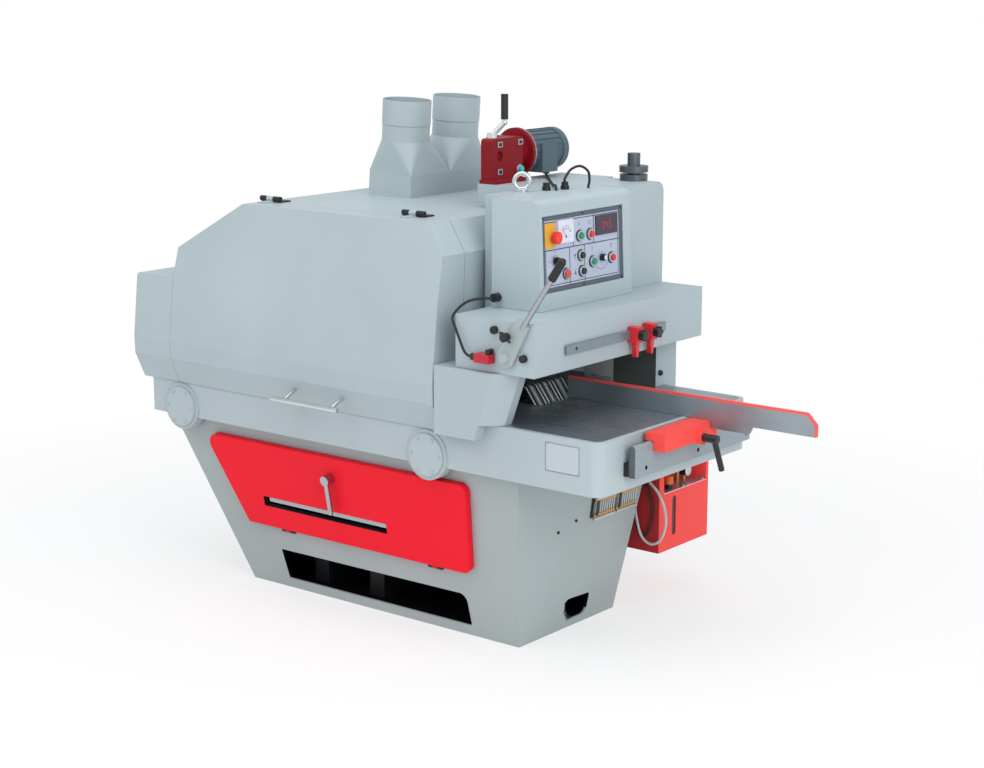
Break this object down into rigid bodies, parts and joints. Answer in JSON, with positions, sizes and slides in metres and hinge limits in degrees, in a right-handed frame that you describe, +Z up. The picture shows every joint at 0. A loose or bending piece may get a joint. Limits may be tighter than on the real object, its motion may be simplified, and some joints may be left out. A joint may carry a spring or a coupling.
{
  "type": "multi rip saw",
  "caption": "Floor-standing multi rip saw with chain feed, hinged hood, twin dust outlets, control box, sliding fence and oil tank.",
  "frame": {"origin": "middle of the base's footprint, on the floor", "axes": "+X along the feed towards the infeed end, -Y towards the hood door, +Z up"},
  "size_m": [2.618, 1.281, 1.858],
  "materials": {
    "grey_paint": "satin",
    "base_paint": "satin",
    "cast_grey": "painted",
    "door_red": "gloss",
    "coral_red": "gloss",
    "gear_red": "painted",
    "motor_blue": "painted",
    "dark_steel": "worn",
    "steel": "machined",
    "frame_grey": "satin",
    "bright_steel": "polished",
    "blade_steel": "ground",
    "black_metal": "matt",
    "panel_face": "satin",
    "black_plastic": "matt",
    "red_plastic": "gloss",
    "green_plastic": "gloss",
    "rubber": "matt",
    "hose": "satin"
  },
  "bodies": {
    "frame": {"base_frame": "base_paint", "door_hinges": "black_metal", "levelling_screws": "steel", "bed_casting": "cast_grey", "table_plate": "dark_steel", "bearing_covers": "cast_grey", "feed_chain": "dark_steel", "hood_shell": "grey_paint", "side_covers": "grey_paint", "dust_duct": "grey_paint", "infeed_beam": "grey_paint", "head_casting": "cast_grey", "head_fittings": "bright_steel", "control_box": "grey_paint", "control_panel": "panel_face", "stop_buffers": "rubber", "limit_switch": "red_plastic", "switch_cable": "rubber", "motor_leads": "rubber", "cable_glands": "black_plastic", "pointer_bar": "bright_steel", "fence_rail": "cast_grey", "main_motor": "motor_blue", "drive_belts": "rubber", "gearbox": "gear_red", "gear_motor": "motor_blue", "oil_tank": "coral_red", "oil_hose": "hose"},
    "base_door": {"base_door": "door_red"},
    "base_door_latch": {"base_door_latch": "bright_steel"},
    "hood_door": {"hood_door": "grey_paint", "hood_handle": "bright_steel"},
    "lift_lever": {"lift_lever": "bright_steel", "lever_grip": "black_plastic", "upper_fingers": "steel"},
    "index_plunger": {"index_plunger": "black_plastic"},
    "lower_fingers": {"lower_fingers": "steel"},
    "fence": {"fence_plate": "steel", "fence_clamp": "coral_red"},
    "clamp_lever": {"clamp_lever": "black_plastic"},
    "left_pointer": {"left_pointer": "red_plastic"},
    "right_pointer": {"right_pointer": "red_plastic"},
    "e_stop": {"e_stop": "red_plastic"},
    "start_button": {"start_button": "green_plastic"},
    "stop_button": {"stop_button": "red_plastic"},
    "feed_start_button": {"feed_start_button": "green_plastic"},
    "feed_stop_button": {"feed_stop_button": "red_plastic"},
    "up_button": {"up_button": "black_plastic"},
    "down_button": {"down_button": "black_plastic"},
    "selector_switch": {"selector_switch": "black_plastic"},
    "speed_knob": {"speed_knob": "black_plastic"},
    "saw_arbor": {"saw_arbor": "steel", "saw_blades": "blade_steel"},
    "motor_pulley": {"motor_pulley": "steel"},
    "rear_chain_shaft": {"rear_chain_shaft": "steel"},
    "front_chain_shaft": {"front_chain_shaft": "steel"},
    "lift_crank": {"lift_crank": "bright_steel"},
    "pressure_frame": {"pressure_frame": "frame_grey"},
    "front_pressure_roller": {"front_pressure_roller": "steel"},
    "rear_pressure_roller": {"rear_pressure_roller": "steel"}
  },
  "joints": [
    {"name": "base_door_hinge", "type": "hinge", "parent": "frame", "child": "base_door", "pos_m": [0, -0.33835, 0.24273], "axis": [1, 0, 0], "range_deg": [0, 95]},
    {"name": "base_door_latch_turn", "type": "hinge", "parent": "base_door", "child": "base_door_latch", "pos_m": [-0.12, -0.38829, 0.50557], "axis": [0, -0.9824, -0.1867], "range_deg": [0, 90]},
    {"name": "hood_door_hinge", "type": "hinge", "parent": "frame", "child": "hood_door", "pos_m": [0, -0.33, 1.474], "axis": [-1, 0, 0], "range_deg": [0, 80]},
    {"name": "lift_lever_swing", "type": "hinge", "parent": "frame", "child": "lift_lever", "pos_m": [0.741, 0, 1.061], "axis": [0, -1, 0], "range_deg": [0, 30]},
    {"name": "index_plunger_slide", "type": "slide", "parent": "lift_lever", "child": "index_plunger", "axis": [0, 1, 0], "range_m": [0, 0.009]},
    {"name": "lower_fingers_swing", "type": "hinge", "parent": "frame", "child": "lower_fingers", "pos_m": [0.588, 0, 0.784], "axis": [0, -1, 0], "range_deg": [0, 45], "stiffness_Nm_per_rad": 4},
    {"name": "fence_slide", "type": "slide", "parent": "frame", "child": "fence", "axis": [0, 1, 0], "range_m": [-0.09, 0.19]},
    {"name": "clamp_lever_turn", "type": "hinge", "parent": "fence", "child": "clamp_lever", "pos_m": [1.16, -0.006, 0.776], "axis": [1, 0, 0], "range_deg": [-60, 60]},
    {"name": "left_pointer_slide", "type": "slide", "parent": "frame", "child": "left_pointer", "axis": [0, 1, 0], "range_m": [-0.33, 0.02]},
    {"name": "right_pointer_slide", "type": "slide", "parent": "frame", "child": "right_pointer", "axis": [0, 1, 0], "range_m": [-0.02, 0.085]},
    {"name": "e_stop_press", "type": "slide", "parent": "frame", "child": "e_stop", "axis": [-0.999, 0, -0.0436], "range_m": [0, 0.005], "stiffness_N_per_m": 900},
    {"name": "start_button_press", "type": "slide", "parent": "frame", "child": "start_button", "axis": [-0.999, 0, -0.0436], "range_m": [0, 0.004], "stiffness_N_per_m": 600},
    {"name": "stop_button_press", "type": "slide", "parent": "frame", "child": "stop_button", "axis": [-0.999, 0, -0.0436], "range_m": [0, 0.004], "stiffness_N_per_m": 600},
    {"name": "feed_start_button_press", "type": "slide", "parent": "frame", "child": "feed_start_button", "axis": [-0.999, 0, -0.0436], "range_m": [0, 0.004], "stiffness_N_per_m": 600},
    {"name": "feed_stop_button_press", "type": "slide", "parent": "frame", "child": "feed_stop_button", "axis": [-0.999, 0, -0.0436], "range_m": [0, 0.004], "stiffness_N_per_m": 600},
    {"name": "up_button_press", "type": "slide", "parent": "frame", "child": "up_button", "axis": [-0.999, 0, -0.0436], "range_m": [0, 0.004], "stiffness_N_per_m": 600},
    {"name": "down_button_press", "type": "slide", "parent": "frame", "child": "down_button", "axis": [-0.999, 0, -0.0436], "range_m": [0, 0.004], "stiffness_N_per_m": 600},
    {"name": "selector_switch_turn", "type": "hinge", "parent": "frame", "child": "selector_switch", "pos_m": [0.72103, -0.19388, 1.33954], "axis": [0.999, 0, 0.0436], "range_deg": [-45, 45]},
    {"name": "speed_knob_turn", "type": "hinge", "parent": "frame", "child": "speed_knob", "pos_m": [0.72175, 0.06889, 1.32298], "axis": [0.999, 0, 0.0436], "range_deg": [-135, 135]},
    {"name": "saw_arbor_spin", "type": "hinge", "parent": "frame", "child": "saw_arbor", "pos_m": [-0.24, 0, 0.972], "axis": [0, 1, 0], "continuous": true},
    {"name": "motor_pulley_spin", "type": "hinge", "parent": "frame", "child": "motor_pulley", "pos_m": [-0.24, 0, 0.33], "axis": [0, 1, 0], "continuous": true},
    {"name": "rear_chain_shaft_spin", "type": "hinge", "parent": "frame", "child": "rear_chain_shaft", "pos_m": [-0.835, 0, 0.676], "axis": [0, 1, 0], "continuous": true},
    {"name": "front_chain_shaft_spin", "type": "hinge", "parent": "frame", "child": "front_chain_shaft", "pos_m": [0.375, 0, 0.676], "axis": [0, 1, 0], "continuous": true},
    {"name": "lift_crank_turn", "type": "hinge", "parent": "frame", "child": "lift_crank", "pos_m": [0.258, 0.052, 1.6], "axis": [0, 0, 1], "range_deg": [0, 2880]},
    {"name": "pressure_frame_slide", "type": "slide", "parent": "frame", "child": "pressure_frame", "axis": [0, 0, 1], "range_m": [0, 0.08]},
    {"name": "front_pressure_roller_spin", "type": "hinge", "parent": "pressure_frame", "child": "front_pressure_roller", "pos_m": [0.01, 0, 0.889], "axis": [0, 1, 0], "continuous": true},
    {"name": "rear_pressure_roller_spin", "type": "hinge", "parent": "pressure_frame", "child": "rear_pressure_roller", "pos_m": [-0.49, 0, 0.889], "axis": [0, 1, 0], "continuous": true}
  ],
  "couplings": [
    {"joint": "motor_pulley_spin", "follows": "saw_arbor_spin", "ratio": 0.66667},
    {"joint": "front_chain_shaft_spin", "follows": "rear_chain_shaft_spin", "ratio": 1},
    {"joint": "lift_crank_turn", "follows": "pressure_frame_slide", "rad_per_m": 628.32}
  ]
}
